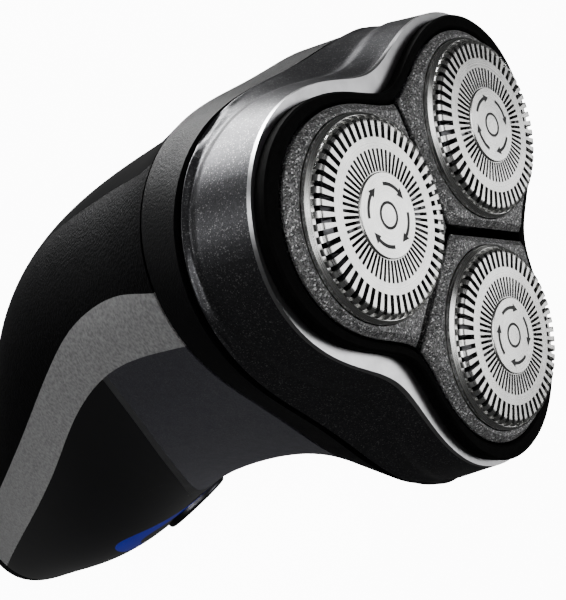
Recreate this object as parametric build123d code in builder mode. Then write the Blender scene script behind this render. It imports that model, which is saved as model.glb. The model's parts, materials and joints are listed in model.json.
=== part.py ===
from build123d import *
import os
from math import acos, cos, degrees, pi, radians, sin, sqrt, tan

# Three-head rotary electric shaver, standing upright on the flat end of its handle.
# Millimetres. Origin at the centre of the handle's flat foot, +Z up, the front faces -Y.
# The shaving face is tilted forward. The head is drawn in a frame of its own, where n is
# the height along the face normal, and n = 0 is the top of the three caps.

os.makedirs("parts", exist_ok=True)

# ---- driving dimensions -------------------------------------------------------------

FACE_TILT = 25.0               # face normal leans forward from +Z
HEAD_Y = -14.0                 # centre of the cap tops
HEAD_Z = 147.0
LOBES = {"right": 30, "left": 150, "front": 270}   # directions in the face plane, degrees
CAP_PITCH_R = 15.7             # cap centres from the centre of the head

CAP_R = 11.4
CAP_BEND = 0.9                 # rounded rim of a cap
CAP_TRACK = 0.6                # thickness of the shaving track
CAP_WALL = 0.5
CAP_DEPTH = 3.8
SKIRT_R = 11.85                # plain skirt below the slots
SKIRT_TOP = -0.95
SKIRT_BEVEL = 0.4
OUTER_SLOTS = 54
OUTER_SLOT_START = 8.75
OUTER_SLOT_WIDTH = 0.60
OUTER_SLOT_DEPTH = 0.9         # how far a slot runs down the rim
INNER_SLOTS = 60
INNER_SLOT_SPAN = (4.95, 7.47)
INNER_SLOT_WIDTH = 0.36
DISC_R = 4.85                  # raised disc in the middle of a cap
DISC_PROUD = 0.22
DISC_PLUG_R = 2.2
DISC_BEVEL = 0.1

LOBE_GROOVE = 1.3              # gap between neighbouring lobe plates
PLATE_LOBE, PLATE_VALLEY = 29.2, 16.9
PLATE_TOP, PLATE_BOTTOM = -1.9, -3.0
PLATE_BEVEL = 0.8
PLATE_BORE = 11.95
TUBE_R = 12.5                  # tube under a lobe plate that carries cap and cutter
TUBE_END = -5.9
LIP_R = 11.0                   # inner lip of that tube, under the retaining frame
FRAME_SPAN = (-4.6, -3.8)      # retaining frame under a cutter
FRAME_HUB_R = 4.7
FRAME_HOLE_R = 3.7
FRAME_SPOKE = 1.6
TILT_N = -4.9                  # height of the lobes' pivot pins
PIVOT_R = 0.8
PIVOT_REACH = 13.4
PIVOT_ROOT = 0.2               # how deep a pivot pin is rooted in its tube
PIVOT_PLAY = 0.1
POST_SPAN = (12.9, 13.7)       # pivot posts, from the cap's axis
POST_WIDTH = 2.4
POST_TOP = -3.6
RUN_GAP = 0.05                 # radial clearance of a shaft in its hole

BLADES = 15
BLADE_SPAN = (5.2, 8.8)
BLADE_THICK = 0.5
BLADE_LEAN = 20
CUTTER_TOP = -0.8
CUTTER_DISC = (-2.6, -1.9)
CUTTER_RIM_R = 8.9
CUTTER_HUB_R = 3.2
CUTTER_HUB_END = -5.6
SOCKET_ACROSS = 2.9
SOCKET_TOP = -2.7

HOLDER_TOP = -2.7
HOLDER_SEAT = -4.25            # underside of the rim over the chamber's edge
HOLDER_STEP = -3.85            # inner step of that rim
HOLDER_FLOOR = (-8.4, -7.4)
HAIR_OPENING_R = 11.0
RIM_OUTER = (31.7, 18.6)       # outlines as lobe radius and valley radius
RIM_INNER = (29.6, 17.3)
RIM_BEVEL = 0.25
HOLDER_OUTER = (29.9, 17.9)
HOLDER_INNER = (29.0, 17.0)

CHAMBER_TOP, CHAMBER_BOTTOM, CHAMBER_FLOOR = -4.4, -13.6, -12.2
RIM_BAND = 0.5                             # height of the silver ring along the chamber's edge
TOP_OUTLINE = (32.1, 21.2, 0.46, 0.0)      # lobe, valley, pinch, forward shift
FOOT_OUTLINE = (34.0, 26.2, 0.0, 0.8)
CAVITY_TOP = (30.3, 18.3, 0.46, 0.0)
CAVITY_FOOT = (31.5, 24.0, 0.0, 0.5)
FLANK_STEPS = 13
CREASE_LOBE, CREASE_VALLEY = -12.4, -8.6   # height of the sculpted crease round the flank
CREASE_DEPTH, CREASE_SOFT = 0.55, 1.8
SPINDLE_HOLE_R = 3.6
HUB_HOLE_R = 5.3
HUB_TUBE_R = 6.6
HUB_TUBE_TOP = -9.6

COLLAR_OUTLINE = (31.2, 23.6)
COLLAR_TOP = -13.9
BOSS_R = 4.8
BOSS_TOP = -9.0
BOSS_BEVEL = 0.8
NECK_OUTLINE = (33.8, 26.1, 0.8)           # lobe, valley, forward shift
NECK_TOP = -15.1
NECK_DECK = 1.5
NECK_WALL = 2.4
NECK_BOTTOM = -22.0
NECK_SEAL_BOTTOM = -22.5
SEAL_R = 2.9

SPINDLE_R = 1.5
SPINDLE_TIP = (-6.2, -3.2)
SPINDLE_ACROSS = 2.2
FLANGE = (2.6, -8.6, -8.0)                 # radius, bottom, top
SPRING_SPAN = (-13.3, -9.0)
SPRING_R = 2.25
SPRING_WIRE_R = 0.3
SPRING_TURNS = 4
WEB_HOLES, WEB_HOLE_R, WEB_PITCH_R = 6, 1.8, 6.0
GEAR_SPAN = (-22.3, -19.3)
PINION_SPAN = (-22.8, -18.9)
PINION_TEETH = 12
GEAR_TEETH = 30
GEAR_MODULE = 2 * CAP_PITCH_R / (PINION_TEETH + GEAR_TEETH)
PRESSURE_ANGLE = 25.0
BACKLASH = 0.12
GEAR_PLATE_SPAN = (-27.0, -25.4)
GEAR_PLATE_OUTLINE = (27.0, 21.6, 0.0, -0.5)
STUD_R = 2.2                               # posts between the neck's deck and the gear plate
STUD_PITCH_R = 19.2
STUD_START = 90                            # direction of the first of three, degrees
SCREW_R, SCREW_HEAD_R, SCREW_HEAD = 1.0, 2.0, 1.3
SCREW_LENGTH = 6.0

MOTOR_R = 10.5
MOTOR_WALL = 0.8
MOTOR_SPAN = (-50.0, -27.0)
MOTOR_CAP = 1.6
MOTOR_SHAFT_R = 1.0
MOTOR_BOSS_R = 3.0
MAGNET_RADII = (8.6, 9.7)
MAGNET_GAP = 8.0
ARMATURE_R = 8.0
ARMATURE_SPAN = (-45.0, -31.0)
ARMATURE_SLOT = 1.6

SKIN = 1.0                                 # outer covers
WALL = 2.4                                 # covers and structural shell together
FOOT_TOP = 8.0
FOOT_FLOOR = 2.5
FOOT_CHAMFER = 2.0
FOOT_SEAL_TOP = 8.6
TONGUE_TOP = 12.0
TONGUE_INSET = (2.5, 3.6)

BUTTON_Z = 54.0
BUTTON_R = 7.0
BUTTON_FACE_Y = -20.7
BUTTON_BACK_Y = -16.9
BUTTON_FLANGE = (8.3, 0.9)
BUTTON_GAP = 0.3
BUTTON_BEND = 0.7
STEM_R = 1.8
STEM_END_Y = -12.0
LIGHT_OUTER = (18.2, 12.4)                 # half width, half height
LIGHT_INNER = (13.8, 9.2)

CHASSIS_Y = (-4.4, -3.0)
CHASSIS_Z = (17.0, 91.0)
CHASSIS_HALF = 14.0
CHASSIS_SCREWS = [(x, z) for x in (-11.0, 11.0) for z in (25.0, 83.0)]
BATTERY_R = 7.1
BATTERY_Y = 6.0
BATTERY_Z = (16.0, 66.0)
BATTERY_BEND = 0.6
CLIP_WALL = 1.2
CLIP_HEIGHT = 7.0
CLIP_CENTRES = (26.0, 56.0)
BOARD_Y = (-7.2, -5.8)
BOARD_HALF = 8.0
BOARD_Z = (22.0, 88.0)
BOARD_CORNER = 2.0
BOARD_PADS = [(x, z) for x in (-5.5, 5.5) for z in (32.0, 78.0)]
SWITCH_SIZE = 6.0
SWITCH_FRONT_Y = -10.4
PLUNGER_R = 1.6
PLUNGER_Y = -11.4
LED_SIZE = 1.8
LED_FRONT_Y = -8.4
LED_PLACES = [(x, BUTTON_Z + z) for x in (-6.0, 6.0) for z in (-8.0, 8.0)]

INLET = (8.6, 5.4)                         # charging socket's mouth
INLET_Y = 5.2
INLET_CORNER = 2.0
INLET_WALL = 1.3
INLET_TOP = 10.2
INLET_DEPTH = 8.6
PIN_R = 0.6
PIN_SPREAD = 2.1
PIN_Z = (4.6, 12.5)

# handle sections from the neck to the foot:
# front point y, z; back point y, z; half width; trilobe share; squareness
SECTIONS = [
    (-33.6, 113.6, 18.8, 138.0, 28.6, 0.12, 2.0),
    (-24.8, 103.0, 23.4, 121.0, 27.3, 0.06, 2.15),
    (-20.5, 88.0, 28.5, 102.0, 26.0, 0.03, 2.35),
    (-19.2, 70.0, 28.9, 78.0, 25.0, 0.01, 2.6),
    (-20.0, 52.0, 23.8, 56.0, 24.0, 0.0, 2.7),
    (-18.6, 32.0, 19.0, 34.0, 22.5, 0.0, 2.7),
    (-15.7, 13.0, 15.5, 13.0, 20.5, 0.0, 2.6),
    (-13.5, 0.0, 13.5, 0.0, 18.0, 0.0, 2.5),
]
FAR = 60.0                                 # beyond every surface of the handle

# curves in the side view, y and z, from the neck down
BAND_BACK = [(2.0, 140.0), (4.9, 131.0), (8.2, 124.0), (10.6, 116.0), (11.9, 106.0), (11.7, 97.0),
             (10.5, 83.0), (9.1, 68.0), (8.0, 52.0), (6.9, 32.0), (5.6, 12.0), (4.5, -2.0)]
BAND_FRONT = [(-3.5, 133.0), (0.3, 121.6), (2.5, 114.0), (3.9, 106.0), (4.3, 98.0), (3.8, 88.0),
              (1.6, 72.0), (-0.6, 51.0), (-1.9, 32.0), (-3.1, 14.0), (-4.0, -2.0)]
SEAM = [(-0.7, 140.0), (2.6, 126.0), (5.4, 118.0), (7.6, 108.0), (8.0, 97.0), (7.2, 86.0),
        (5.4, 70.0), (3.7, 51.0), (2.5, 32.0), (1.3, 13.0), (0.3, -2.0)]
TRIM_TOP = [(8.0, 107.6), (3.9, 106.5), (-1.1, 104.2), (-7.8, 97.8), (-13.7, 88.6), (-17.2, 79.0),
            (-19.9, 68.5), (-23.0, 56.0)]
TRIM_SHIFT = (0.3, -1.7)                   # from the trim's upper edge to its lower edge
TRIM_BOTTOM = [(y + TRIM_SHIFT[0], z + TRIM_SHIFT[1]) for y, z in TRIM_TOP]
# back view, half width and z of the glossy panel in the rear grip
PANEL_SIDE = [(21.5, 141.0), (20.0, 132.0), (16.8, 123.0), (15.6, 113.0), (14.8, 99.0), (13.6, 80.0),
              (11.6, 62.0), (8.0, 47.0), (0.0, 39.0)]

# ---- frames, outlines and helpers ---------------------------------------------------

FACE = Plane(origin=(0, HEAD_Y, HEAD_Z), x_dir=(1, 0, 0),
             z_dir=(0, -sin(radians(FACE_TILT)), cos(radians(FACE_TILT))))
NORMAL = Axis(FACE.origin, FACE.z_dir)


def level(n):
    """The face plane at height n."""
    return FACE.offset(n)


def at_lobe(angle, n):
    """A plane at height n on a cap's axis, its x axis pointing outward along the lobe."""
    outward = FACE.x_dir * cos(radians(angle)) + FACE.y_dir * sin(radians(angle))
    origin = FACE.origin + outward * CAP_PITCH_R + FACE.z_dir * n
    return Plane(origin=origin, x_dir=outward, z_dir=FACE.z_dir)


def trilobe(lobe, valley, pinch=0.46, shift=0.0, steps=36):
    """Points of a closed outline with three rounded lobes, one of them at the front."""
    mean = (lobe + valley) / 2 + pinch
    swing = (lobe - valley) / 2
    points = []
    for i in range(steps):
        angle = 2 * pi * i / steps
        radius = mean + swing * cos(3 * angle) - pinch * cos(6 * angle)
        points.append((radius * sin(angle), -radius * cos(angle) - shift))
    return points


def signed_power(value, exponent):
    """A power that keeps the sign of its base."""
    return abs(value) ** exponent * (1 if value >= 0 else -1)


def handle_section(section, inset, steps=36):
    """Plane and outline points of one handle section, moved inward by inset."""
    front_y, front_z, back_y, back_z, half_width, lobe, square = section
    depth = sqrt((back_y - front_y) ** 2 + (back_z - front_z) ** 2)
    along = Vector(0, (back_y - front_y) / depth, (back_z - front_z) / depth)
    half_depth = depth / 2 - inset
    width = half_width - inset
    centre = Vector(0, back_y, back_z) - along * (half_depth * (1 - lobe) + inset)
    plane = Plane(origin=centre, x_dir=(1, 0, 0), z_dir=Vector(1, 0, 0).cross(along))
    points = []
    for i in range(steps):
        angle = 2 * pi * i / steps
        reach = 1 + lobe * cos(3 * angle)
        points.append((width * reach * signed_power(sin(angle), 2 / square),
                       -half_depth * reach * signed_power(cos(angle), 2 / square)))
    return plane, points


def flank(n, steps=48):
    """Points round the chamber's flank at height n, with a soft step under its crease."""
    share = (n - CHAMBER_TOP) / (CHAMBER_BOTTOM - CHAMBER_TOP)
    lobe, valley, pinch, shift = [top + (foot - top) * share
                                  for top, foot in zip(TOP_OUTLINE, FOOT_OUTLINE)]
    points = []
    for i, (x, y) in enumerate(trilobe(lobe, valley, pinch, shift, steps)):
        wave = cos(6 * pi * i / steps)
        crease = (CREASE_LOBE + CREASE_VALLEY) / 2 + (CREASE_LOBE - CREASE_VALLEY) / 2 * wave
        ramp = min(1.0, max(0.0, (crease - n) / CREASE_SOFT + 0.5))
        under = ramp * ramp * (3 - 2 * ramp)
        fade = max(0.0, (n - CHAMBER_BOTTOM) / (crease - CHAMBER_BOTTOM)) if n < crease else 1.0
        inward = CREASE_DEPTH * under * fade / sqrt(x * x + y * y)
        points.append((x * (1 - inward), y * (1 - inward)))
    return points


def closed_face(plane, points):
    """A face inside a smooth closed curve."""
    with BuildSketch(plane) as outline:
        with BuildLine():
            Spline(*points, periodic=True)
        make_face()
    return outline.sketch


def disc(plane, radius, amount, mode=Mode.ADD):
    """Extrude a circle into the part being built."""
    with BuildSketch(plane) as outline:
        Circle(radius)
    extrude(outline.sketch, amount=amount, mode=mode)


def studs(n, radius, amount, mode=Mode.ADD):
    """Extrude the three round posts, screws or holes of the gear plate from height n."""
    with BuildSketch(level(n)) as outline:
        with PolarLocations(STUD_PITCH_R, 3, start_angle=STUD_START):
            Circle(radius)
    extrude(outline.sketch, amount=amount, mode=mode)


def handle_body(inset):
    """The handle as one solid, moved inward by inset on every side."""
    with BuildPart() as body:
        loft([closed_face(*handle_section(section, inset)) for section in SECTIONS])
    return body.part


def side_region(curve, corners):
    """A block across the handle, bounded in the side view by a curve and its far corners."""
    with BuildPart() as region:
        with BuildSketch(Plane.YZ):
            with BuildLine():
                edge = Spline(*curve)
                Polyline(edge @ 1, *corners, edge @ 0)
            make_face()
        extrude(amount=FAR, both=True)
    return region.part


def slab(plane, low, high):
    """A wide flat block between two heights over a plane."""
    with BuildPart() as block:
        with BuildSketch(plane.offset(low)):
            Rectangle(8 * FAR, 8 * FAR)
        extrude(amount=high - low)
    return block.part


def gear_face(plane, teeth, phase):
    """Outline of an involute gear, with the middle of a tooth at the phase angle."""
    pitch_r = GEAR_MODULE * teeth / 2
    base_r = pitch_r * cos(radians(PRESSURE_ANGLE))
    tip_r = pitch_r + 0.9 * GEAR_MODULE
    root_r = pitch_r - 1.2 * GEAR_MODULE
    foot_r = max(base_r, root_r)
    half_tooth = pi / (2 * teeth) - BACKLASH / (2 * pitch_r)

    def involute(radius):
        roll = acos(min(1.0, base_r / radius))
        return tan(roll) - roll

    def flank_angle(radius):
        return degrees(half_tooth + involute(pitch_r) - involute(radius))

    radii = [foot_r + (tip_r - foot_r) * k / 3 for k in range(4)]
    pitch_angle = 360 / teeth
    with BuildSketch(plane) as outline:
        with BuildLine():
            for i in range(teeth):
                middle = phase + pitch_angle * i
                rising = [Vector(r, 0).rotate(Axis.Z, middle - flank_angle(r)) for r in radii]
                falling = [Vector(r, 0).rotate(Axis.Z, middle + flank_angle(r)) for r in radii]
                foot = flank_angle(foot_r)
                start = Vector(root_r, 0).rotate(Axis.Z, middle - foot)
                end = Vector(root_r, 0).rotate(Axis.Z, middle + foot)
                following = Vector(root_r, 0).rotate(Axis.Z, middle + pitch_angle - foot)
                if root_r < base_r:
                    Line(start, rising[0])
                    Line(falling[0], end)
                Spline(*rising)
                ThreePointArc(rising[-1], Vector(tip_r, 0).rotate(Axis.Z, middle), falling[-1])
                Spline(*reversed(falling))
                ThreePointArc(end, Vector(root_r, 0).rotate(Axis.Z, middle + pitch_angle / 2),
                              following)
        make_face()
    return outline.sketch


def save(solid, name):
    """Label a piece and write it out."""
    solid.label = name
    export_step(solid, f"parts/{name}.step")


# ---- shaving heads: one of each piece per lobe --------------------------------------

for name, angle in LOBES.items():
    with BuildPart() as cap:
        disc(at_lobe(angle, -CAP_DEPTH), SKIRT_R, CAP_DEPTH + SKIRT_TOP)
        chamfer(cap.faces().sort_by(NORMAL)[-1].edges(), length=SKIRT_BEVEL)
        disc(at_lobe(angle, -CAP_DEPTH), CAP_R, CAP_DEPTH)
        fillet(cap.faces().sort_by(NORMAL)[-1].edges(), radius=CAP_BEND)
        disc(at_lobe(angle, -CAP_DEPTH), CAP_R - CAP_WALL, CAP_DEPTH - CAP_TRACK, Mode.SUBTRACT)
        disc(at_lobe(angle, -CAP_DEPTH), DISC_PLUG_R, CAP_DEPTH, Mode.SUBTRACT)
        with BuildSketch(at_lobe(angle, -OUTER_SLOT_DEPTH)):
            with PolarLocations((OUTER_SLOT_START + CAP_R + 1) / 2, OUTER_SLOTS):
                Rectangle(CAP_R + 1 - OUTER_SLOT_START, OUTER_SLOT_WIDTH)
        extrude(amount=OUTER_SLOT_DEPTH + 1, mode=Mode.SUBTRACT)
        with BuildSketch(at_lobe(angle, -CAP_TRACK)):
            with PolarLocations(sum(INNER_SLOT_SPAN) / 2, INNER_SLOTS):
                Rectangle(INNER_SLOT_SPAN[1] - INNER_SLOT_SPAN[0], INNER_SLOT_WIDTH)
        extrude(amount=CAP_TRACK, mode=Mode.SUBTRACT)
    save(cap.part, f"shaving_cap_{name}")

    with BuildPart() as centre_disc:
        disc(at_lobe(angle, -CAP_TRACK), DISC_PLUG_R, CAP_TRACK)
        disc(at_lobe(angle, 0), DISC_R, DISC_PROUD)
        chamfer(centre_disc.faces().sort_by(NORMAL)[-1].edges(), length=DISC_BEVEL)
    save(centre_disc.part, f"cap_disc_{name}")

    with BuildPart() as cutter:
        disc(at_lobe(angle, CUTTER_DISC[0]), CUTTER_RIM_R, CUTTER_DISC[1] - CUTTER_DISC[0])
        disc(at_lobe(angle, CUTTER_HUB_END), CUTTER_HUB_R, CUTTER_DISC[1] - CUTTER_HUB_END)
        with BuildSketch(at_lobe(angle, CUTTER_DISC[1])):
            with PolarLocations(sum(BLADE_SPAN) / 2, BLADES):
                Rectangle(BLADE_SPAN[1] - BLADE_SPAN[0], BLADE_THICK, rotation=BLADE_LEAN)
        extrude(amount=CUTTER_TOP - CUTTER_DISC[1])
        with BuildSketch(at_lobe(angle, CUTTER_HUB_END)):
            Rectangle(SOCKET_ACROSS, SOCKET_ACROSS)
        extrude(amount=SOCKET_TOP - CUTTER_HUB_END, mode=Mode.SUBTRACT)
    save(cutter.part, f"cutter_{name}")

    with BuildPart() as retaining_frame:
        thick = FRAME_SPAN[1] - FRAME_SPAN[0]
        disc(at_lobe(angle, FRAME_SPAN[0]), PLATE_BORE, thick)
        disc(at_lobe(angle, FRAME_SPAN[0]), CUTTER_RIM_R, thick, Mode.SUBTRACT)
        disc(at_lobe(angle, FRAME_SPAN[0]), FRAME_HUB_R, thick)
        with BuildSketch(at_lobe(angle, FRAME_SPAN[0])):
            with PolarLocations((FRAME_HUB_R + CUTTER_RIM_R) / 2, 3):
                Rectangle(CUTTER_RIM_R - FRAME_HUB_R + 1, FRAME_SPOKE)
        extrude(amount=thick)
        disc(at_lobe(angle, FRAME_SPAN[0]), FRAME_HOLE_R, thick, Mode.SUBTRACT)
    save(retaining_frame.part, f"retaining_frame_{name}")

    plate_height = PLATE_TOP - PLATE_BOTTOM
    half_groove = LOBE_GROOVE / 2
    with BuildPart() as lobe_plate:
        extrude(closed_face(level(PLATE_BOTTOM), trilobe(PLATE_LOBE, PLATE_VALLEY)), plate_height)
        with BuildSketch(Plane(level(PLATE_BOTTOM).origin, at_lobe(angle, 0).x_dir, FACE.z_dir)):
            with BuildLine():
                tip = half_groove / sin(pi / 3)
                Polyline((tip, 0), (tip + FAR, FAR * tan(pi / 3)),
                         (tip + FAR, -FAR * tan(pi / 3)), (tip, 0))
            make_face()
        extrude(amount=plate_height, mode=Mode.INTERSECT)
        chamfer(lobe_plate.faces().sort_by(NORMAL)[-1].edges(), length=PLATE_BEVEL)
        disc(at_lobe(angle, TUBE_END), TUBE_R, PLATE_BOTTOM - TUBE_END)
        disc(at_lobe(angle, FRAME_SPAN[0]), PLATE_BORE, PLATE_TOP - FRAME_SPAN[0], Mode.SUBTRACT)
        disc(at_lobe(angle, TUBE_END), LIP_R, FRAME_SPAN[0] - TUBE_END, Mode.SUBTRACT)
        for side in (-1, 1):
            outward = at_lobe(angle, TILT_N).y_dir * side
            root = at_lobe(angle, TILT_N).origin + outward * (TUBE_R - PIVOT_ROOT)
            disc(Plane(origin=root, z_dir=outward), PIVOT_R, PIVOT_REACH - TUBE_R + PIVOT_ROOT)
    save(lobe_plate.part, f"lobe_plate_{name}")

# ---- shaving unit: head holder and hair chamber -------------------------------------

with BuildPart() as head_holder:
    extrude(closed_face(level(HOLDER_FLOOR[0]), trilobe(*HOLDER_OUTER)), HOLDER_STEP - HOLDER_FLOOR[0])
    extrude(closed_face(level(HOLDER_SEAT), trilobe(*RIM_OUTER)), HOLDER_TOP - HOLDER_SEAT)
    extrude(closed_face(level(HOLDER_STEP), trilobe(*RIM_INNER)), HOLDER_TOP - HOLDER_STEP,
            mode=Mode.SUBTRACT)
    chamfer(head_holder.faces().sort_by(NORMAL)[-1].edges(), length=RIM_BEVEL)
    extrude(closed_face(level(HOLDER_FLOOR[1]), trilobe(*HOLDER_INNER)),
            HOLDER_STEP - HOLDER_FLOOR[1], mode=Mode.SUBTRACT)
    for angle in LOBES.values():
        disc(at_lobe(angle, HOLDER_FLOOR[0]), HAIR_OPENING_R, HOLDER_FLOOR[1] - HOLDER_FLOOR[0],
             Mode.SUBTRACT)
        with BuildSketch(at_lobe(angle, HOLDER_FLOOR[1])) as posts:
            with Locations((0, sum(POST_SPAN) / 2), (0, -sum(POST_SPAN) / 2)):
                Rectangle(POST_WIDTH, POST_SPAN[1] - POST_SPAN[0])
        extrude(posts.sketch, POST_TOP - HOLDER_FLOOR[1])
        pivot = at_lobe(angle, TILT_N)
        with BuildSketch(Plane(origin=pivot.origin, z_dir=pivot.y_dir)) as bores:
            Circle(PIVOT_R + RUN_GAP)
        extrude(bores.sketch, amount=PIVOT_REACH + PIVOT_PLAY, both=True, mode=Mode.SUBTRACT)
save(head_holder.part, "head_holder")

with BuildPart() as chamber_blank:
    step = (CHAMBER_BOTTOM - CHAMBER_TOP) / FLANK_STEPS
    heights = [CHAMBER_TOP + step * k for k in range(FLANK_STEPS + 1)]
    loft([closed_face(level(n), flank(n)) for n in heights])
    cavity_top = closed_face(level(CHAMBER_TOP), trilobe(*CAVITY_TOP))
    cavity_foot = closed_face(level(CHAMBER_FLOOR), trilobe(*CAVITY_FOOT))
    loft([cavity_top, cavity_foot], ruled=True, mode=Mode.SUBTRACT)

with BuildPart() as chamber_rim:
    add(chamber_blank.part)
    add(slab(FACE, CHAMBER_TOP - RIM_BAND, CHAMBER_TOP), mode=Mode.INTERSECT)
save(chamber_rim.part, "chamber_rim")

with BuildPart() as hair_chamber:
    add(chamber_blank.part)
    add(slab(FACE, 2 * CHAMBER_BOTTOM, CHAMBER_TOP - RIM_BAND), mode=Mode.INTERSECT)
    disc(level(CHAMBER_FLOOR), HUB_TUBE_R, HUB_TUBE_TOP - CHAMBER_FLOOR)
    disc(level(CHAMBER_BOTTOM), HUB_HOLE_R, HUB_TUBE_TOP - CHAMBER_BOTTOM, Mode.SUBTRACT)
    for angle in LOBES.values():
        disc(at_lobe(angle, CHAMBER_BOTTOM), SPINDLE_HOLE_R, CHAMBER_FLOOR - CHAMBER_BOTTOM,
             Mode.SUBTRACT)
save(hair_chamber.part, "hair_chamber")

# ---- drive: motor, pinion, three gears and spindles ---------------------------------

for name, angle in LOBES.items():
    with BuildPart() as drive_spindle:
        disc(at_lobe(angle, GEAR_PLATE_SPAN[0]), SPINDLE_R, SPINDLE_TIP[0] - GEAR_PLATE_SPAN[0])
        disc(at_lobe(angle, FLANGE[1]), FLANGE[0], FLANGE[2] - FLANGE[1])
        with BuildSketch(at_lobe(angle, SPINDLE_TIP[0])):
            Rectangle(SPINDLE_ACROSS, SPINDLE_ACROSS)
        extrude(amount=SPINDLE_TIP[1] - SPINDLE_TIP[0])
    save(drive_spindle.part, f"drive_spindle_{name}")

    with BuildPart() as drive_gear:
        facing = at_lobe(angle, GEAR_SPAN[0])
        extrude(gear_face(facing, GEAR_TEETH, 180 + 180 / GEAR_TEETH), GEAR_SPAN[1] - GEAR_SPAN[0])
        disc(facing, SPINDLE_R, GEAR_SPAN[1] - GEAR_SPAN[0], Mode.SUBTRACT)
        with BuildSketch(facing):
            with PolarLocations(WEB_PITCH_R, WEB_HOLES):
                Circle(WEB_HOLE_R)
        extrude(amount=GEAR_SPAN[1] - GEAR_SPAN[0], mode=Mode.SUBTRACT)
    save(drive_gear.part, f"drive_gear_{name}")

    with BuildPart() as spindle_spring:
        with BuildLine() as coil:
            Helix(pitch=(SPRING_SPAN[1] - SPRING_SPAN[0]) / SPRING_TURNS,
                  height=SPRING_SPAN[1] - SPRING_SPAN[0], radius=SPRING_R,
                  center=at_lobe(angle, SPRING_SPAN[0]).origin, direction=FACE.z_dir)
        with BuildSketch(Plane(origin=coil.line @ 0, z_dir=coil.line % 0)):
            Circle(SPRING_WIRE_R)
        sweep(is_frenet=True)
    save(spindle_spring.part, f"spindle_spring_{name}")

with BuildPart() as motor_pinion:
    facing = Plane(level(PINION_SPAN[0]).origin, at_lobe(LOBES["right"], 0).x_dir, FACE.z_dir)
    extrude(gear_face(facing, PINION_TEETH, 0), PINION_SPAN[1] - PINION_SPAN[0])
    disc(level(PINION_SPAN[0]), MOTOR_SHAFT_R, PINION_SPAN[1] - PINION_SPAN[0], Mode.SUBTRACT)
save(motor_pinion.part, "motor_pinion")

with BuildPart() as motor_shaft:
    disc(level(MOTOR_SPAN[0] - 1.0), MOTOR_SHAFT_R, PINION_SPAN[1] - MOTOR_SPAN[0] + 1.0)
save(motor_shaft.part, "motor_shaft")

with BuildPart() as motor_armature:
    disc(level(ARMATURE_SPAN[0]), ARMATURE_R, ARMATURE_SPAN[1] - ARMATURE_SPAN[0])
    disc(level(ARMATURE_SPAN[0]), MOTOR_SHAFT_R, ARMATURE_SPAN[1] - ARMATURE_SPAN[0], Mode.SUBTRACT)
    with BuildSketch(level(ARMATURE_SPAN[0])):
        with PolarLocations(ARMATURE_R, 3):
            Rectangle(ARMATURE_R, ARMATURE_SLOT)
    extrude(amount=ARMATURE_SPAN[1] - ARMATURE_SPAN[0], mode=Mode.SUBTRACT)
save(motor_armature.part, "motor_armature")

with BuildPart() as motor_can:
    disc(level(MOTOR_SPAN[0] + MOTOR_CAP), MOTOR_R, MOTOR_SPAN[1] - MOTOR_SPAN[0] - MOTOR_CAP)
    disc(level(MOTOR_SPAN[0] + MOTOR_CAP), MOTOR_R - MOTOR_WALL,
         MOTOR_SPAN[1] - MOTOR_SPAN[0] - MOTOR_CAP - MOTOR_WALL, Mode.SUBTRACT)
    disc(level(MOTOR_SPAN[1] - MOTOR_WALL), MOTOR_SHAFT_R + RUN_GAP, MOTOR_WALL, Mode.SUBTRACT)
save(motor_can.part, "motor_can")

with BuildPart() as motor_end_cap:
    disc(level(MOTOR_SPAN[0]), MOTOR_R, MOTOR_CAP)
    disc(level(MOTOR_SPAN[0] - 1.0), MOTOR_BOSS_R, 1.0)
    disc(level(MOTOR_SPAN[0] - 1.0), MOTOR_SHAFT_R + RUN_GAP, MOTOR_CAP + 1.0, Mode.SUBTRACT)
save(motor_end_cap.part, "motor_end_cap")

with BuildPart() as motor_magnets:
    disc(level(ARMATURE_SPAN[0]), MAGNET_RADII[1], ARMATURE_SPAN[1] - ARMATURE_SPAN[0])
    disc(level(ARMATURE_SPAN[0]), MAGNET_RADII[0], ARMATURE_SPAN[1] - ARMATURE_SPAN[0],
         Mode.SUBTRACT)
    with BuildSketch(level(ARMATURE_SPAN[0])):
        Rectangle(MAGNET_GAP, 3 * MOTOR_R)
    extrude(amount=ARMATURE_SPAN[1] - ARMATURE_SPAN[0], mode=Mode.SUBTRACT)
save(motor_magnets.part, "motor_magnets")

# ---- neck ---------------------------------------------------------------------------

neck_foot_plane, neck_foot_points = handle_section(SECTIONS[0], 0)
neck_inner_plane, neck_inner_points = handle_section(SECTIONS[0], NECK_WALL)
neck_lobe, neck_valley, neck_shift = NECK_OUTLINE

with BuildPart() as neck_ring:
    loft([closed_face(neck_foot_plane, neck_foot_points),
          closed_face(level(NECK_TOP), trilobe(neck_lobe, neck_valley, 0, neck_shift))], ruled=True)
    loft([closed_face(neck_inner_plane, neck_inner_points),
          closed_face(level(NECK_TOP - NECK_DECK),
                      trilobe(neck_lobe - NECK_WALL, neck_valley - NECK_WALL, 0, neck_shift))],
         ruled=True, mode=Mode.SUBTRACT)
    studs(GEAR_PLATE_SPAN[1], STUD_R, NECK_TOP - NECK_DECK - GEAR_PLATE_SPAN[1])
    studs(GEAR_PLATE_SPAN[0], SCREW_R, SCREW_LENGTH, Mode.SUBTRACT)
    for angle in LOBES.values():
        disc(at_lobe(angle, NECK_TOP - NECK_DECK), SPINDLE_R + RUN_GAP, NECK_DECK, Mode.SUBTRACT)
save(neck_ring.part, "neck_ring")

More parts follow.
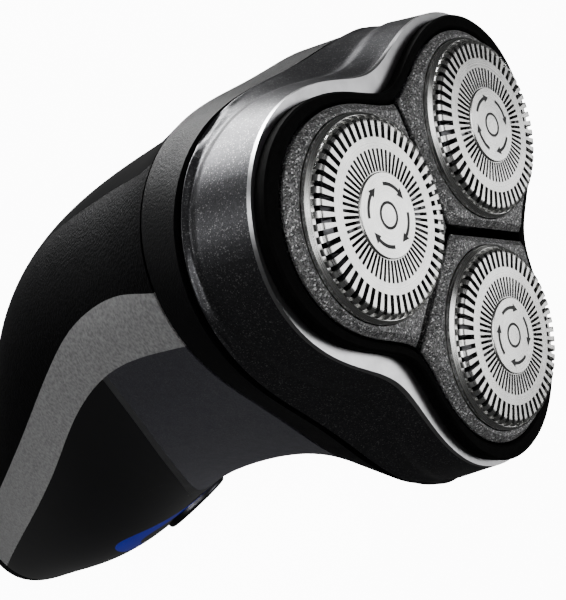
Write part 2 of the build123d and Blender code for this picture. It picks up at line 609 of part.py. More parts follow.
with BuildPart() as coupling_collar:
    extrude(closed_face(level(NECK_TOP), trilobe(*COLLAR_OUTLINE, 0, neck_shift)),
            COLLAR_TOP - NECK_TOP)
    disc(level(COLLAR_TOP), BOSS_R, BOSS_TOP - COLLAR_TOP)
    chamfer(coupling_collar.faces().sort_by(NORMAL)[-1].edges(), length=BOSS_BEVEL)
    for angle in LOBES.values():
        disc(at_lobe(angle, NECK_TOP), SEAL_R, COLLAR_TOP - NECK_TOP, Mode.SUBTRACT)
save(coupling_collar.part, "coupling_collar")

with BuildPart() as shaft_seals:
    for angle in LOBES.values():
        disc(at_lobe(angle, NECK_TOP), SEAL_R, COLLAR_TOP - NECK_TOP)
    for angle in LOBES.values():
        disc(at_lobe(angle, NECK_TOP), SPINDLE_R + RUN_GAP, COLLAR_TOP - NECK_TOP, Mode.SUBTRACT)
save(shaft_seals.part, "shaft_seals")

with BuildPart() as gear_plate:
    extrude(closed_face(level(GEAR_PLATE_SPAN[0]), trilobe(*GEAR_PLATE_OUTLINE)),
            GEAR_PLATE_SPAN[1] - GEAR_PLATE_SPAN[0])
    disc(level(GEAR_PLATE_SPAN[0]), MOTOR_BOSS_R, GEAR_PLATE_SPAN[1] - GEAR_PLATE_SPAN[0],
         Mode.SUBTRACT)
    studs(GEAR_PLATE_SPAN[0], SCREW_R, GEAR_PLATE_SPAN[1] - GEAR_PLATE_SPAN[0], Mode.SUBTRACT)
    for angle in LOBES.values():
        disc(at_lobe(angle, GEAR_PLATE_SPAN[0]), SPINDLE_R + RUN_GAP,
             GEAR_PLATE_SPAN[1] - GEAR_PLATE_SPAN[0], Mode.SUBTRACT)
save(gear_plate.part, "gear_plate")

with BuildPart() as gear_screws:
    studs(GEAR_PLATE_SPAN[0], SCREW_R, SCREW_LENGTH)
    studs(GEAR_PLATE_SPAN[0] - SCREW_HEAD, SCREW_HEAD_R, SCREW_HEAD)
save(gear_screws.part, "gear_screws")

# ---- handle: layers and side-view regions -------------------------------------------

outer_body = handle_body(0)
inner_body = handle_body(SKIN)
cavity_body = handle_body(WALL)

behind_band = side_region(BAND_BACK, [(FAR, -2), (FAR, 140)])
before_band = side_region(BAND_FRONT, [(-FAR, -2), (-FAR, 133)])
behind_seam = side_region(SEAM, [(FAR, -2), (FAR, 140)])
under_trim = side_region(TRIM_TOP, [(-FAR, 56), (-FAR, -2), (FAR, -2), (FAR, 107.6)])
under_trim_edge = side_region(TRIM_BOTTOM, [(-FAR, 54), (-FAR, -2), (FAR, -2), (FAR, 106)])
shell_height = slab(Plane.XY, FOOT_SEAL_TOP, 2 * HEAD_Z)
below_neck = slab(FACE, -3 * HEAD_Z, NECK_SEAL_BOTTOM)

with BuildPart() as skin:
    add(outer_body)
    add(inner_body, mode=Mode.SUBTRACT)
    add(shell_height, mode=Mode.INTERSECT)
    add(below_neck, mode=Mode.INTERSECT)

with BuildPart() as structure:
    add(inner_body)
    add(cavity_body, mode=Mode.SUBTRACT)
    add(shell_height, mode=Mode.INTERSECT)
    add(below_neck, mode=Mode.INTERSECT)

with BuildPart() as back_window:
    with BuildSketch(Plane.XZ):
        with BuildLine():
            side = Spline(*PANEL_SIDE)
            mirror(about=Plane.YZ)
            Line(side @ 0, (-PANEL_SIDE[0][0], PANEL_SIDE[0][1]))
        make_face()
    extrude(amount=-FAR)

with BuildPart() as light_window:
    with BuildSketch(Plane.XZ):
        with Locations((0, BUTTON_Z)):
            Ellipse(*LIGHT_OUTER)
            Ellipse(*LIGHT_INNER, mode=Mode.SUBTRACT)
    extrude(amount=FAR)

with BuildPart() as button_bore:
    with BuildSketch(Plane.XZ):
        with Locations((0, BUTTON_Z)):
            Circle(BUTTON_R + BUTTON_GAP)
    extrude(amount=FAR)

# ---- handle covers ------------------------------------------------------------------

with BuildPart() as rear_grip:
    add(skin.part)
    add(behind_band, mode=Mode.INTERSECT)
    add(back_window.part, mode=Mode.SUBTRACT)
save(rear_grip.part, "rear_grip")

with BuildPart() as back_panel:
    add(skin.part)
    add(behind_band, mode=Mode.INTERSECT)
    add(back_window.part, mode=Mode.INTERSECT)
save(back_panel.part, "back_panel")

for name, side in (("left", -1), ("right", 1)):
    with BuildPart() as side_band:
        add(skin.part)
        add(behind_band, mode=Mode.SUBTRACT)
        add(before_band, mode=Mode.SUBTRACT)
        add(slab(Plane.YZ, min(0, side * 2 * FAR), max(0, side * 2 * FAR)), mode=Mode.INTERSECT)
    save(side_band.part, f"side_band_{name}")

with BuildPart() as front_cover:
    add(skin.part)
    add(before_band, mode=Mode.INTERSECT)
    add(under_trim, mode=Mode.SUBTRACT)
save(front_cover.part, "front_cover")

with BuildPart() as panel_trim:
    add(skin.part)
    add(before_band, mode=Mode.INTERSECT)
    add(under_trim, mode=Mode.INTERSECT)
    add(under_trim_edge, mode=Mode.SUBTRACT)
save(panel_trim.part, "panel_trim")

with BuildPart() as front_panel:
    add(skin.part)
    add(before_band, mode=Mode.INTERSECT)
    add(under_trim_edge, mode=Mode.INTERSECT)
    add(light_window.part, mode=Mode.SUBTRACT)
    add(button_bore.part, mode=Mode.SUBTRACT)
save(front_panel.part, "front_panel")

with BuildPart() as light_ring:
    add(skin.part)
    add(light_window.part, mode=Mode.INTERSECT)
    add(under_trim_edge, mode=Mode.INTERSECT)
save(light_ring.part, "light_ring")

# ---- handle structure ---------------------------------------------------------------

with BuildPart() as rear_shell:
    add(structure.part)
    add(behind_seam, mode=Mode.INTERSECT)
save(rear_shell.part, "rear_shell")

with BuildPart() as front_shell:
    add(cavity_body)
    with BuildSketch(Plane.XZ.offset(-CHASSIS_Y[0])) as bosses:
        with Locations(*CHASSIS_SCREWS):
            Circle(STUD_R)
    extrude(bosses.sketch, amount=FAR, mode=Mode.INTERSECT)
    add(structure.part)
    add(behind_seam, mode=Mode.SUBTRACT)
    with BuildSketch(Plane.XZ.offset(-CHASSIS_Y[0])) as boss_pilots:
        with Locations(*CHASSIS_SCREWS):
            Circle(SCREW_R)
    extrude(boss_pilots.sketch, amount=SCREW_LENGTH, mode=Mode.SUBTRACT)
    add(button_bore.part, mode=Mode.SUBTRACT)
save(front_shell.part, "front_shell")

with BuildPart() as neck_seal:
    add(inner_body)
    add(cavity_body, mode=Mode.SUBTRACT)
    add(slab(FACE, NECK_SEAL_BOTTOM, NECK_BOTTOM), mode=Mode.INTERSECT)
save(neck_seal.part, "neck_seal")

with BuildPart() as foot_seal:
    add(inner_body)
    add(cavity_body, mode=Mode.SUBTRACT)
    add(slab(Plane.XY, FOOT_TOP, FOOT_SEAL_TOP), mode=Mode.INTERSECT)
save(foot_seal.part, "foot_seal")

with BuildPart() as foot_cap:
    add(outer_body)
    add(slab(Plane.XY, 0, FOOT_TOP), mode=Mode.INTERSECT)
    chamfer(foot_cap.faces().sort_by(Axis.Z)[0].edges(), length=FOOT_CHAMFER)
    add(handle_body(TONGUE_INSET[0]) & slab(Plane.XY, FOOT_FLOOR, TONGUE_TOP))
    add(handle_body(TONGUE_INSET[1]) & slab(Plane.XY, FOOT_FLOOR, TONGUE_TOP), mode=Mode.SUBTRACT)
    with BuildSketch(Plane.XY):
        with Locations((0, INLET_Y)):
            RectangleRounded(*INLET, radius=INLET_CORNER)
    extrude(amount=FOOT_FLOOR, mode=Mode.SUBTRACT)
save(foot_cap.part, "foot_cap")

with BuildPart() as inlet_socket:
    with BuildSketch(Plane.XY.offset(FOOT_FLOOR)):
        with Locations((0, INLET_Y)):
            RectangleRounded(INLET[0] + 2 * INLET_WALL, INLET[1] + 2 * INLET_WALL,
                             radius=INLET_CORNER + INLET_WALL)
    extrude(amount=INLET_TOP - FOOT_FLOOR)
    with BuildSketch(Plane.XY.offset(FOOT_FLOOR)):
        with Locations((0, INLET_Y)):
            RectangleRounded(*INLET, radius=INLET_CORNER)
    extrude(amount=INLET_DEPTH - FOOT_FLOOR, mode=Mode.SUBTRACT)
    with BuildSketch(Plane.XY.offset(INLET_DEPTH)):
        with Locations((-PIN_SPREAD, INLET_Y), (PIN_SPREAD, INLET_Y)):
            Circle(PIN_R)
    extrude(amount=INLET_TOP - INLET_DEPTH, mode=Mode.SUBTRACT)
save(inlet_socket.part, "inlet_socket")

with BuildPart() as inlet_pins:
    with BuildSketch(Plane.XY.offset(PIN_Z[0])):
        with Locations((-PIN_SPREAD, INLET_Y), (PIN_SPREAD, INLET_Y)):
            Circle(PIN_R)
    extrude(amount=PIN_Z[1] - PIN_Z[0])
save(inlet_pins.part, "inlet_pins")

# ---- handle insides -----------------------------------------------------------------

with BuildPart() as chassis:
    with BuildSketch(Plane.XZ.offset(-CHASSIS_Y[1])):
        with Locations((0, sum(CHASSIS_Z) / 2)):
            Rectangle(2 * CHASSIS_HALF, CHASSIS_Z[1] - CHASSIS_Z[0])
    extrude(amount=CHASSIS_Y[1] - CHASSIS_Y[0])
    with BuildSketch(Plane.XZ.offset(-CHASSIS_Y[0])):
        with Locations(*BOARD_PADS):
            Circle(STUD_R)
    extrude(amount=CHASSIS_Y[0] - BOARD_Y[1])
    with BuildSketch(Plane.XZ.offset(-CHASSIS_Y[1])):
        with Locations(*CHASSIS_SCREWS):
            Circle(SCREW_R)
    extrude(amount=CHASSIS_Y[1] - CHASSIS_Y[0], mode=Mode.SUBTRACT)
    for centre in CLIP_CENTRES:
        with BuildSketch(Plane.XY.offset(centre - CLIP_HEIGHT / 2)) as clip:
            with Locations((0, BATTERY_Y)):
                Circle(BATTERY_R + CLIP_WALL)
            with Locations((0, CHASSIS_Y[1] + 1)):
                Rectangle(2 * STUD_R, 2)
            with Locations((0, BATTERY_Y)):
                Circle(BATTERY_R, mode=Mode.SUBTRACT)
        extrude(clip.sketch, amount=CLIP_HEIGHT)
save(chassis.part, "chassis")

with BuildPart() as chassis_screws:
    with BuildSketch(Plane.XZ.offset(-CHASSIS_Y[1])):
        with Locations(*CHASSIS_SCREWS):
            Circle(SCREW_R)
    extrude(amount=SCREW_LENGTH)
    with BuildSketch(Plane.XZ.offset(-CHASSIS_Y[1] - SCREW_HEAD)):
        with Locations(*CHASSIS_SCREWS):
            Circle(SCREW_HEAD_R)
    extrude(amount=SCREW_HEAD)
save(chassis_screws.part, "chassis_screws")

with BuildPart() as battery:
    with BuildSketch(Plane.XY.offset(BATTERY_Z[0])):
        with Locations((0, BATTERY_Y)):
            Circle(BATTERY_R)
    extrude(amount=BATTERY_Z[1] - BATTERY_Z[0])
    fillet(battery.edges().filter_by(GeomType.CIRCLE), radius=BATTERY_BEND)
save(battery.part, "battery")

with BuildPart() as circuit_board:
    with BuildSketch(Plane.XZ.offset(-BOARD_Y[1])):
        with Locations((0, sum(BOARD_Z) / 2)):
            RectangleRounded(2 * BOARD_HALF, BOARD_Z[1] - BOARD_Z[0], radius=BOARD_CORNER)
    extrude(amount=BOARD_Y[1] - BOARD_Y[0])
save(circuit_board.part, "circuit_board")

with BuildPart() as tact_switch:
    with BuildSketch(Plane.XZ.offset(-BOARD_Y[0])):
        with Locations((0, BUTTON_Z)):
            Rectangle(SWITCH_SIZE, SWITCH_SIZE)
    extrude(amount=BOARD_Y[0] - SWITCH_FRONT_Y)
    with BuildSketch(Plane.XZ.offset(-SWITCH_FRONT_Y)):
        with Locations((0, BUTTON_Z)):
            Circle(PLUNGER_R)
    extrude(amount=SWITCH_FRONT_Y - PLUNGER_Y)
save(tact_switch.part, "tact_switch")

with BuildPart() as light_diodes:
    with BuildSketch(Plane.XZ.offset(-BOARD_Y[0])):
        with Locations(*LED_PLACES):
            Rectangle(LED_SIZE, LED_SIZE)
    extrude(amount=BOARD_Y[0] - LED_FRONT_Y)
save(light_diodes.part, "light_diodes")

with BuildPart() as power_button:
    with BuildSketch(Plane.XZ.offset(-BUTTON_BACK_Y)):
        with Locations((0, BUTTON_Z)):
            Circle(BUTTON_R)
    extrude(amount=BUTTON_BACK_Y - BUTTON_FACE_Y)
    fillet(power_button.faces().sort_by(Axis.Y)[0].edges(), radius=BUTTON_BEND)
    with BuildSketch(Plane.XZ.offset(-BUTTON_BACK_Y)):
        with Locations((0, BUTTON_Z)):
            Circle(BUTTON_FLANGE[0])
    extrude(amount=-BUTTON_FLANGE[1])
    with BuildSketch(Plane.XZ.offset(-STEM_END_Y)):
        with Locations((0, BUTTON_Z)):
            Circle(STEM_R)
    extrude(amount=STEM_END_Y - BUTTON_BACK_Y)
save(power_button.part, "power_button")
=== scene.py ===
import json
from math import cos, radians, sin

import bmesh
import bpy
from mathutils import Matrix, Vector


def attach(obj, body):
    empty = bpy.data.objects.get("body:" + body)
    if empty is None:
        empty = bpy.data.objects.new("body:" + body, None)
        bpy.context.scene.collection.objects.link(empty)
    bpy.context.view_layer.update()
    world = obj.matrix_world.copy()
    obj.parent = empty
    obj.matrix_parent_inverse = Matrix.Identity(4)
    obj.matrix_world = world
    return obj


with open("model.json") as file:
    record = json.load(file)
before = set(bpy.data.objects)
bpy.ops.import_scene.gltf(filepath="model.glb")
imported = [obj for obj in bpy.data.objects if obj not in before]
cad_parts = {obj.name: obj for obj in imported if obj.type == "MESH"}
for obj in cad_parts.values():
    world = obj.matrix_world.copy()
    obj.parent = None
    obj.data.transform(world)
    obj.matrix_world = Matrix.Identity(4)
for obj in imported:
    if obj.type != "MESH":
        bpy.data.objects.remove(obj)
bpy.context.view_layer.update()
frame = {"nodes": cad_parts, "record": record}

# Three-head rotary shaver, metres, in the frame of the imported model: origin at the foot,
# +Z up, the front faces -Y. The face frame comes from the joints: its normal is the axis
# that the shaving unit is pulled off along.

MM = 0.001
SIDES = ("left", "right", "front")

# ---- camera: place and direction seen from the middle of the three caps --------------

CAMERA_OFFSET = Vector((-91.4, 4.28, 68.7)) * MM
CAMERA_FORWARD = Vector((0.66456, 0.03841, -0.74625))
CAMERA_UP = Vector((0.49005, 0.73152, 0.47405))
LENS = 55.3

# ---- the face frame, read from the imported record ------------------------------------

joints = {joint["name"]: joint for joint in frame["record"]["behaviour"]["joints"]}
normal = Vector(joints["shaving_unit_pull"]["axis"]).normalized()
cap_axis = {side: Vector(joints[f"cutter_{side}_spin"]["pos_m"]) for side in SIDES}
CUTTER_PIVOT_N = -2.0 * MM                         # the cutter joints' height under the cap tops
cap_top = {side: cap_axis[side] - normal * CUTTER_PIVOT_N for side in SIDES}
face_centre = sum(cap_top.values(), Vector()) / 3


def cap_frame(side):
    """Matrix from a cap's own frame, z along the normal and x outward, to the row frame."""
    outward = (cap_top[side] - face_centre).normalized()
    tangent = normal.cross(outward)
    turn = Matrix((outward, tangent, normal)).transposed().to_4x4()
    return Matrix.Translation(cap_top[side]) @ turn


# ---- small material kit -------------------------------------------------------------

class Paint:
    """One procedural material: a Principled shader and the helper nodes that feed it."""

    def __init__(self, name, color, metallic=0.0, roughness=0.5):
        self.material = bpy.data.materials.new(name)
        self.material.use_nodes = True
        self.nodes = self.material.node_tree.nodes
        self.links = self.material.node_tree.links
        self.shader = self.nodes["Principled BSDF"]
        self.color = color
        self.set(**{"Base Color": (*color, 1), "Metallic": metallic, "Roughness": roughness})
        self.place = self.nodes.new("ShaderNodeTexCoord").outputs["Object"]

    def set(self, **values):
        for name, value in values.items():
            self.shader.inputs[name].default_value = value

    def link(self, source, name):
        self.links.new(source, self.shader.inputs[name])

    def noise(self, scale, detail=3.0, rough=0.5):
        """Noise with features of about 1/scale metres."""
        node = self.nodes.new("ShaderNodeTexNoise")
        node.inputs["Scale"].default_value = scale
        node.inputs["Detail"].default_value = detail
        node.inputs["Roughness"].default_value = rough
        self.links.new(self.place, node.inputs["Vector"])
        return node.outputs["Fac"]

    def cells(self, scale):
        """A random value for each small cell, for metal flakes."""
        node = self.nodes.new("ShaderNodeTexVoronoi")
        node.inputs["Scale"].default_value = scale
        self.links.new(self.place, node.inputs["Vector"])
        split = self.nodes.new("ShaderNodeSeparateColor")
        self.links.new(node.outputs["Color"], split.inputs["Color"])
        return split.outputs["Red"]

    def ramp(self, source, stops):
        """Colour or value stops along a factor."""
        node = self.nodes.new("ShaderNodeValToRGB")
        ramp = node.color_ramp
        while len(ramp.elements) < len(stops):
            ramp.elements.new(0.5)
        for element, (position, color) in zip(ramp.elements, stops):
            element.position = position
            element.color = (*color, 1) if isinstance(color, tuple) else (color, color, color, 1)
        self.links.new(source, node.inputs["Fac"])
        return node.outputs["Color"]

    def span(self, source, low, high):
        """A 0 to 1 factor mapped to a range."""
        node = self.nodes.new("ShaderNodeMapRange")
        node.inputs["To Min"].default_value = low
        node.inputs["To Max"].default_value = high
        self.links.new(source, node.inputs["Value"])
        return node.outputs["Result"]

    def bump(self, height, strength, distance):
        node = self.nodes.new("ShaderNodeBump")
        node.inputs["Strength"].default_value = strength
        node.inputs["Distance"].default_value = distance
        self.links.new(height, node.inputs["Height"])
        self.link(node.outputs["Normal"], "Normal")
        return self

    def shaded(self, amount):
        """Two tones around the base colour, amount apart, for slow colour variation."""
        low = tuple(c * (1 - amount) for c in self.color)
        high = tuple(min(1, c * (1 + amount)) for c in self.color)
        return low, high


def flake(name, color, painted_glint, roughness, metallic, contrast=0.28, scale=9000):
    """Lacquer with fine metal flakes: small cells a little lighter or darker, and a few painted
    much lighter as painted glints.
    """
    paint = Paint(name, color, metallic, roughness)
    dark, light = paint.shaded(contrast)
    # the last stop paints the brightest few cells in a painted glint tone, standing in for flake
    # sparkle
    stops = [(0.0, dark), (0.60, paint.color), (0.90, light), (0.985, (painted_glint, painted_glint, painted_glint))]
    paint.link(paint.ramp(paint.cells(scale), stops), "Base Color")
    paint.link(paint.span(paint.noise(700, 4), roughness - 0.06, roughness + 0.08), "Roughness")
    return paint.bump(paint.noise(scale * 0.6, 2), 0.22, 0.00002)


def grain(name, color, roughness, scale, height, specular=0.45):
    """Moulded plastic or soft-touch rubber with a fine eroded grain."""
    paint = Paint(name, color, 0.0, roughness)
    paint.set(**{"Specular IOR Level": specular})
    dark, light = paint.shaded(0.30)
    paint.link(paint.ramp(paint.noise(scale * 0.5, 4), [(0.3, dark), (0.7, light)]), "Base Color")
    paint.link(paint.span(paint.noise(240, 4), roughness - 0.07, roughness + 0.07), "Roughness")
    return paint.bump(paint.noise(scale, 2, 0.6), 0.55, height)


def gloss(name, color, roughness=0.09):
    """Polished black plastic with a clear coat and faint surface waviness."""
    paint = Paint(name, color, 0.0, roughness)
    paint.set(**{"Coat Weight": 0.6, "Coat Roughness": 0.03, "Specular IOR Level": 0.5})
    dark, light = paint.shaded(0.25)
    paint.link(paint.ramp(paint.noise(60, 2), [(0.3, dark), (0.7, light)]), "Base Color")
    paint.link(paint.span(paint.noise(500, 4), roughness * 0.7, roughness * 1.6), "Roughness")
    return paint.bump(paint.noise(90, 1), 0.05, 0.0002)


def turned_steel(name, color, side, roughness=0.26):
    """Steel with fine turning marks round a cap's axis."""
    paint = Paint(name, color, 1.0, roughness)
    from_axis = paint.nodes.new("ShaderNodeVectorMath")
    from_axis.operation = "SUBTRACT"
    from_axis.inputs[1].default_value = cap_top[side]
    paint.links.new(paint.place, from_axis.inputs[0])
    radius = paint.nodes.new("ShaderNodeVectorMath")
    radius.operation = "LENGTH"
    paint.links.new(from_axis.outputs["Vector"], radius.inputs[0])
    rings = paint.nodes.new("ShaderNodeTexNoise")
    rings.noise_dimensions = "1D"
    rings.inputs["Scale"].default_value = 9000
    rings.inputs["Detail"].default_value = 3
    paint.links.new(radius.outputs["Value"], rings.inputs["W"])
    dark, light = paint.shaded(0.10)
    paint.link(paint.ramp(paint.noise(350, 4), [(0.3, dark), (0.7, light)]), "Base Color")
    paint.link(paint.span(rings.outputs["Fac"], roughness - 0.08, roughness + 0.12), "Roughness")
    return paint.bump(rings.outputs["Fac"], 0.25, 0.00003)


def metal(name, color, roughness, scale=2600):
    """Plain ground or plated metal with fine scratches and blotches."""
    paint = Paint(name, color, 1.0, roughness)
    dark, light = paint.shaded(0.12)
    paint.link(paint.ramp(paint.noise(400, 4), [(0.3, dark), (0.7, light)]), "Base Color")
    paint.link(paint.span(paint.noise(scale, 3), roughness - 0.06, roughness + 0.10), "Roughness")
    return paint.bump(paint.noise(scale, 2), 0.15, 0.00003)


# ---- a material for every slot of the record ----------------------------------------

CAP_TONE = 0.60
DISC_TONE = 0.66

SLOT_PAINT = {
    # for flake(), the number after the colour is the tone of its painted glints
    "plate_flake": lambda n: flake(n, (0.15, 0.15, 0.151), 0.70, 0.55, 0.10, 0.80, 6500),
    "holder_black": lambda n: grain(n, (0.004, 0.004, 0.004), 0.75, 2600, 0.00003, 0.08),
    "chamber_flake": lambda n: flake(n, (0.060, 0.060, 0.064), 0.20, 0.38, 0.75),
    "rim_silver": lambda n: metal(n, (0.50, 0.50, 0.51), 0.30),
    "cover_lacquer": lambda n: flake(n, (0.070, 0.070, 0.082), 0.12, 0.42, 0.15),
    "neck_black": lambda n: grain(n, (0.006, 0.006, 0.0065), 0.55, 3400, 0.00012, 0.20),
    "rubber_grip": lambda n: grain(n, (0.005, 0.005, 0.0055), 0.50, 2200, 0.00030, 0.16),
    "band_grey": lambda n: grain(n, (0.29, 0.29, 0.292), 0.50, 4200, 0.00003),
    "panel_black": lambda n: gloss(n, (0.003, 0.003, 0.004)),
    "button_steel": lambda n: metal(n, (0.10, 0.10, 0.11), 0.34),
    "trim_silver": lambda n: metal(n, (0.42, 0.42, 0.44), 0.30),
    "shell_black": lambda n: grain(n, (0.020, 0.020, 0.021), 0.55, 1800, 0.00008),
    "frame_plastic": lambda n: grain(n, (0.050, 0.052, 0.055), 0.45, 1800, 0.00006),
    "seal_rubber": lambda n: grain(n, (0.008, 0.008, 0.008), 0.70, 1400, 0.00006),
    "gear_nylon": lambda n: grain(n, (0.62, 0.59, 0.50), 0.45, 1200, 0.00005),
    "shaft_steel": lambda n: metal(n, (0.60, 0.60, 0.61), 0.24),
    "cutter_steel": lambda n: metal(n, (0.20, 0.20, 0.21), 0.34),
    "motor_steel": lambda n: metal(n, (0.52, 0.52, 0.52), 0.35),
    "magnet_dark": lambda n: grain(n, (0.035, 0.035, 0.036), 0.75, 1600, 0.00008),
    "armature_copper": lambda n: metal(n, (0.45, 0.19, 0.08), 0.35, 900),
    "battery_wrap": lambda n: gloss(n, (0.02, 0.12, 0.06), 0.25),
    "board_green": lambda n: grain(n, (0.010, 0.075, 0.028), 0.35, 900, 0.00004),
    "switch_black": lambda n: grain(n, (0.014, 0.014, 0.015), 0.50, 1500, 0.00006),
    "pin_brass": lambda n: metal(n, (0.62, 0.45, 0.18), 0.28),
}


def light_guide(name):
    """Deep blue translucent ring, lit a little from inside."""
    paint = Paint(name, (0.004, 0.006, 0.10), 0.0, 0.12)
    paint.set(**{"Coat Weight": 0.5, "Emission Color": (0.004, 0.010, 0.30, 1),
                 "Emission Strength": 0.35})
    stops = [(0.25, (0.003, 0.004, 0.07)), (0.75, (0.01, 0.02, 0.22))]
    paint.link(paint.ramp(paint.noise(140, 3), stops), "Base Color")
    return paint.bump(paint.noise(700, 2), 0.08, 0.00005)


def clear_diode(name):
    """Cloudy epoxy of the small lamps behind the ring."""
    paint = Paint(name, (0.70, 0.80, 0.95), 0.0, 0.10)
    paint.set(**{"Transmission Weight": 0.5, "IOR": 1.5})
    paint.link(paint.ramp(paint.noise(900, 2), [(0.3, (0.5, 0.6, 0.8)), (0.7, (0.8, 0.9, 1.0))]),
               "Base Color")
    return paint


SLOT_PAINT["light_blue"] = light_guide
SLOT_PAINT["diode_clear"] = clear_diode


def paint_nodes():
    """Give each CAD node the material of its slot, and the caps one turned about their axis."""
    made = {name: recipe(name).material for name, recipe in SLOT_PAINT.items()}
    for part in frame["record"]["subparts"]:
        node, slot = part["node"], part["material_slot"]
        if slot in ("cap_steel", "disc_steel"):
            side = node.rsplit("_", 1)[1]
            tone = CAP_TONE if slot == "cap_steel" else DISC_TONE
            material = turned_steel(f"{slot}_{side}", (tone, tone, tone * 0.985), side).material
        else:
            material = made[slot]
        piece = frame["nodes"][node]
        piece.data.materials.clear()
        piece.data.materials.append(material)
    return made


# ---- engraved marks on the cap discs ------------------------------------------------

DISC_TOP = 0.22 * MM
MARK_LIFT = 0.015 * MM
RING_MARK = (1.26 * MM, 1.60 * MM)
ARROW_BAND = (3.30 * MM, 3.72 * MM)
ARROW_HEAD = (2.95 * MM, 4.07 * MM)
ARROW_START = 100                                  # degrees, in the cap's own frame
ARROW_SWEEP = -46                                  # clockwise, seen from outside
ARROW_HEAD_SWEEP = -18
ARROWS = 4
RING_STEPS = 48
ARROW_STEPS = 12


def polar(radius, degrees):
    return Vector((radius * cos(radians(degrees)), radius * sin(radians(degrees)), 0))


def arc_strip(mesh, band, start, end, steps):
    """A flat strip between two radii."""
    rows = []
    for i in range(steps + 1):
        angle = start + (end - start) * i / steps
        rows.append([mesh.verts.new(polar(radius, angle)) for radius in band])
    for low, high in zip(rows, rows[1:]):
        mesh.faces.new((low[0], high[0], high[1], low[1]))


def cap_marks(side, material):
    """Four curved arrows and a small ring, filled dark, on a cap's centre disc."""
    mesh = bmesh.new()
    arc_strip(mesh, RING_MARK, 360, 0, RING_STEPS)
    for k in range(ARROWS):
        start = 360 / ARROWS * k + ARROW_START
        neck = start + ARROW_SWEEP
        arc_strip(mesh, ARROW_BAND, start, neck, ARROW_STEPS)
        inner, outer = [mesh.verts.new(polar(radius, neck)) for radius in ARROW_HEAD]
        tip = mesh.verts.new(polar(sum(ARROW_BAND) / 2, neck + ARROW_HEAD_SWEEP))
        mesh.faces.new((inner, tip, outer))
    bmesh.ops.translate(mesh, verts=mesh.verts, vec=(0, 0, DISC_TOP + MARK_LIFT))
    bmesh.ops.transform(mesh, matrix=cap_frame(side), verts=mesh.verts)
    data = bpy.data.meshes.new(f"cap_marks_{side}")
    mesh.to_mesh(data)
    mesh.free()
    marks = bpy.data.objects.new(f"cap_marks_{side}", data)
    bpy.context.collection.objects.link(marks)
    marks.data.materials.append(material)
    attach(marks, f"lobe_{side}")


# ---- floor, lights and camera -------------------------------------------------------

WORLD_GLOW = 0.06
FLOOR_GLOW = 6.0
# name, direction from the middle of the caps, distance, aim below the caps, size, power
LAMPS = [
    ("key", (0.665, -0.548, 0.509), 0.60, 0.0, (0.34, 0.34), 0.90),
    ("flank", (-0.60, 0.62, -0.25), 0.45, 0.01, (0.12, 0.24), 0.30),
    ("back", (0.22, 0.92, -0.15), 0.50, 0.0, (0.34, 0.20), 4.0),
    ("side", (-0.85, -0.10, 0.52), 0.60, 0.04, (0.20, 0.20), 0.9),
    ("top", (-0.24, -0.05, 0.97), 0.60, 0.0, (0.42, 0.42), 1.6),
    ("low_front", (-0.02, -0.40, -0.90), 0.155, 0.02, (0.12, 0.06), 0.11),
]

NO_REFLECTION = ("low_front",)                     # lamps that glossy surfaces do not mirror

FLOOR_R = 2.0                                      # flat part, metres
COVE_R = 0.8                                       # curve up to the backdrop
WALL_TOP = 3.5
FLOOR_SIDES = 64
COVE_STEPS = 8


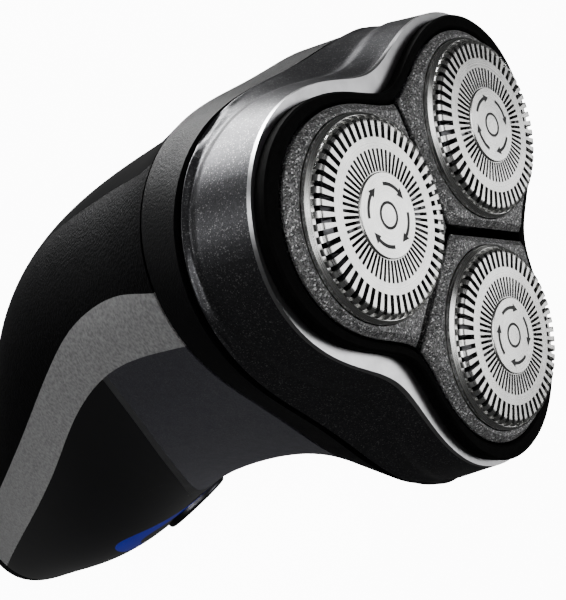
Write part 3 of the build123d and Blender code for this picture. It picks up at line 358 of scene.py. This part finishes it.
def floor():
    """Plain pale floor that curves up into a backdrop all round."""
    profile = [(FLOOR_R, 0.0)]
    for k in range(1, COVE_STEPS + 1):
        angle = radians(90 * k / COVE_STEPS)
        profile.append((FLOOR_R + COVE_R * sin(angle), COVE_R * (1 - cos(angle))))
    profile.append((FLOOR_R + COVE_R, WALL_TOP))
    mesh = bmesh.new()
    rows = [[mesh.verts.new(polar(radius, 360 * k / FLOOR_SIDES) + Vector((0, 0, height)))
             for k in range(FLOOR_SIDES)] for radius, height in profile]
    mesh.faces.new(rows[0])
    for low, high in zip(rows, rows[1:]):
        for k in range(FLOOR_SIDES):
            mesh.faces.new((low[k - 1], low[k], high[k], high[k - 1]))
    for face in mesh.faces:
        face.smooth = True
    data = bpy.data.meshes.new("floor")
    mesh.to_mesh(data)
    mesh.free()
    ground = bpy.data.objects.new("floor", data)
    bpy.context.collection.objects.link(ground)
    paint = Paint("floor", (0.90, 0.90, 0.90), 0.0, 0.8)
    paint.set(**{"Emission Color": (1, 1, 1, 1), "Emission Strength": FLOOR_GLOW})
    paint.link(paint.ramp(paint.noise(3, 2), [(0.3, 0.89), (0.7, 0.92)]), "Base Color")
    ground.data.materials.append(paint.material)
    ground.visible_diffuse = False
    ground.visible_glossy = False
    ground.visible_shadow = False


def soft_box(name, place, target, size, power):
    """A rectangular lamp that faces a point."""
    lamp = bpy.data.lights.new(name, "AREA")
    lamp.shape = "RECTANGLE"
    lamp.size, lamp.size_y = size
    lamp.energy = power
    body = bpy.data.objects.new(name, lamp)
    bpy.context.collection.objects.link(body)
    body.visible_camera = False
    body.visible_glossy = name not in NO_REFLECTION
    body.location = place
    body.rotation_euler = (Vector(target) - Vector(place)).to_track_quat("-Z", "Y").to_euler()


def lights():
    """Lamps placed by direction and distance from the middle of the caps."""
    world = bpy.data.worlds.new("studio")
    world.use_nodes = True
    world.node_tree.nodes["Background"].inputs["Color"].default_value = (1.0, 1.0, 1.0, 1)
    world.node_tree.nodes["Background"].inputs["Strength"].default_value = WORLD_GLOW
    bpy.context.scene.world = world
    bpy.context.scene.view_settings.look = "AgX - Medium High Contrast"
    for name, direction, distance, target_drop, size, power in LAMPS:
        target = face_centre - Vector((0, 0, target_drop))
        place = face_centre + Vector(direction).normalized() * distance
        soft_box(name, place, target, size, power)


def camera():
    data = bpy.data.cameras.new("camera")
    data.lens = LENS
    data.sensor_width = 36
    data.clip_start = 0.005
    body = bpy.data.objects.new("camera", data)
    bpy.context.collection.objects.link(body)
    right = CAMERA_FORWARD.cross(CAMERA_UP).normalized()
    up = right.cross(CAMERA_FORWARD).normalized()
    turn = Matrix((right, up, -CAMERA_FORWARD.normalized())).transposed().to_4x4()
    body.matrix_world = Matrix.Translation(face_centre + CAMERA_OFFSET) @ turn
    bpy.context.scene.camera = body


materials = paint_nodes()
for side_name in SIDES:
    cap_marks(side_name, materials["switch_black"])
floor()
lights()
camera()
